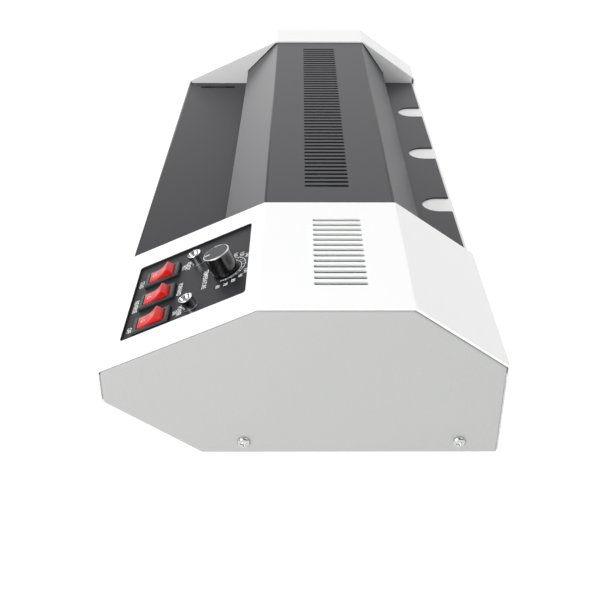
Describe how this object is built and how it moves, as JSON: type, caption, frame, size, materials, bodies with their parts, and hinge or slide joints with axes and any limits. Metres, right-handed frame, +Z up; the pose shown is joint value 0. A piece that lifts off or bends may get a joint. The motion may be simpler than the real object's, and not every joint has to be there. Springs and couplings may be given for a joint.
{
  "type": "pouch laminator",
  "caption": "Steel-cased roller laminator with feed table, exit tray, vented cover and a control panel of rocker switches, lamps and a temperature knob.",
  "frame": {"origin": "on the floor under the middle of the machine's outer box", "axes": "+X along the machine to the control end, -Y the feed side, +Y the exit side, +Z up"},
  "size_m": [0.504, 0.209, 0.1022],
  "materials": {
    "aluminium": "extruded",
    "bearing_plastic": "moulded",
    "black_powder": "fine satin black powder coat",
    "black_steel": "black coated",
    "board_green": "solder mask",
    "bronze": "sintered",
    "chrome": "bright plated",
    "foot_rubber": "moulded",
    "gear_nylon": "moulded, black",
    "grey_white_powder": "fine orange-peel powder coat, warm light grey",
    "heater_silicone": "moulded mat",
    "knob_black": "glossy",
    "lens": "clear",
    "motor_grey": "plain",
    "nickel": "nickel plated",
    "panel_black": "satin black with printed legends",
    "rocker_red": "moulded, glossy",
    "roller_steel": "turned",
    "silicone": "ground silicone",
    "spring_steel": "drawn wire",
    "switch_black": "moulded nylon",
    "white_powder": "smooth white powder coat",
    "zinc_steel": "zinc plated"
  },
  "bodies": {
    "case": {"base_tray": "white_powder", "control_board": "board_green", "control_end_cover": "white_powder", "control_end_plate": "grey_white_powder", "control_frame_plate": "black_steel", "control_inner_wall": "white_powder", "control_nut": "nickel", "control_panel": "panel_black", "cover_screws": "nickel", "direction_switch_housing": "switch_black", "drive_motor": "motor_grey", "end_plate_screws": "nickel", "exit_tray": "black_powder", "far_end_cover": "white_powder", "far_end_plate": "grey_white_powder", "far_frame_plate": "black_steel", "far_inner_wall": "white_powder", "feed_table": "black_powder", "foot_screws": "nickel", "front_pressure_springs": "spring_steel", "fuse_holder": "switch_black", "heat_switch_housing": "switch_black", "idler_pin": "zinc_steel", "lower_heating_plate": "aluminium", "mains_inlet": "switch_black", "middle_cover": "black_powder", "motor_bracket": "zinc_steel", "power_lamp_bezel": "chrome", "power_lamp_lens": "lens", "power_switch_housing": "switch_black", "ready_lamp_bezel": "chrome", "ready_lamp_lens": "lens", "rear_pressure_springs": "spring_steel", "roller_bushes": "bronze", "rubber_feet": "foot_rubber", "strip_heaters": "heater_silicone", "temperature_control": "switch_black", "tie_rods": "zinc_steel", "upper_heating_plate": "aluminium"},
    "heat_rocker_body": {"heat_rocker": "rocker_red"},
    "direction_rocker_body": {"direction_rocker": "rocker_red"},
    "power_rocker_body": {"power_rocker": "rocker_red"},
    "knob": {"temperature_knob": "knob_black", "control_shaft": "nickel"},
    "rear_lower_roller": {"rear_lower_roller_core": "roller_steel", "rear_lower_roller_sleeve": "silicone", "rear_lower_roller_gear": "gear_nylon"},
    "front_lower_roller": {"front_lower_roller_core": "roller_steel", "front_lower_roller_sleeve": "silicone", "front_lower_roller_gear": "gear_nylon"},
    "front_carriage": {"front_bearing_blocks": "bearing_plastic"},
    "rear_carriage": {"rear_bearing_blocks": "bearing_plastic"},
    "front_upper_roller": {"front_upper_roller_core": "roller_steel", "front_upper_roller_sleeve": "silicone", "front_upper_roller_gear": "gear_nylon"},
    "rear_upper_roller": {"rear_upper_roller_core": "roller_steel", "rear_upper_roller_sleeve": "silicone", "rear_upper_roller_gear": "gear_nylon"},
    "idler": {"idler_gear": "gear_nylon"},
    "pinion": {"motor_pinion": "gear_nylon"}
  },
  "joints": [
    {"name": "heat_switch", "type": "hinge", "parent": "case", "child": "heat_rocker_body", "pos_m": [0.1715, -0.0782, 0.07099], "axis": [-1, 0, 0], "range_deg": [0, 29]},
    {"name": "direction_switch", "type": "hinge", "parent": "case", "child": "direction_rocker_body", "pos_m": [0.1955, -0.0782, 0.07099], "axis": [-1, 0, 0], "range_deg": [0, 29]},
    {"name": "power_switch", "type": "hinge", "parent": "case", "child": "power_rocker_body", "pos_m": [0.2195, -0.0782, 0.07099], "axis": [-1, 0, 0], "range_deg": [0, 29]},
    {"name": "temperature_dial", "type": "hinge", "parent": "case", "child": "knob", "pos_m": [0.1955, -0.04152, 0.08937], "axis": [0, -0.4129, 0.9108], "range_deg": [0, 255]},
    {"name": "rear_lower_spin", "type": "hinge", "parent": "case", "child": "rear_lower_roller", "pos_m": [0, 0.045, 0.0485], "axis": [1, 0, 0], "continuous": true},
    {"name": "front_lower_spin", "type": "hinge", "parent": "case", "child": "front_lower_roller", "pos_m": [0, -0.02, 0.0485], "axis": [1, 0, 0], "continuous": true},
    {"name": "idler_spin", "type": "hinge", "parent": "case", "child": "idler", "pos_m": [0, 0.0125, 0.0485], "axis": [1, 0, 0], "continuous": true},
    {"name": "pinion_spin", "type": "hinge", "parent": "case", "child": "pinion", "pos_m": [0, 0.065, 0.0485], "axis": [1, 0, 0], "continuous": true},
    {"name": "front_carriage_lift", "type": "slide", "parent": "case", "child": "front_carriage", "axis": [0, 0, 1], "range_m": [0, 0.001], "stiffness_N_per_m": 8000, "springref_m": -0.0025, "deforming": ["front_pressure_springs"]},
    {"name": "front_upper_spin", "type": "hinge", "parent": "front_carriage", "child": "front_upper_roller", "pos_m": [0, -0.02, 0.0735], "axis": [1, 0, 0], "continuous": true},
    {"name": "rear_carriage_lift", "type": "slide", "parent": "case", "child": "rear_carriage", "axis": [0, 0, 1], "range_m": [0, 0.001], "stiffness_N_per_m": 8000, "springref_m": -0.0025, "deforming": ["rear_pressure_springs"]},
    {"name": "rear_upper_spin", "type": "hinge", "parent": "rear_carriage", "child": "rear_upper_roller", "pos_m": [0, 0.045, 0.0735], "axis": [1, 0, 0], "continuous": true}
  ],
  "couplings": [
    {"joint": "front_lower_spin", "follows": "rear_lower_spin", "ratio": 1},
    {"joint": "idler_spin", "follows": "rear_lower_spin", "ratio": -0.625},
    {"joint": "pinion_spin", "follows": "rear_lower_spin", "ratio": -1.6667},
    {"joint": "rear_upper_spin", "follows": "rear_lower_spin", "ratio": -1},
    {"joint": "front_upper_spin", "follows": "rear_lower_spin", "ratio": -1}
  ]
}
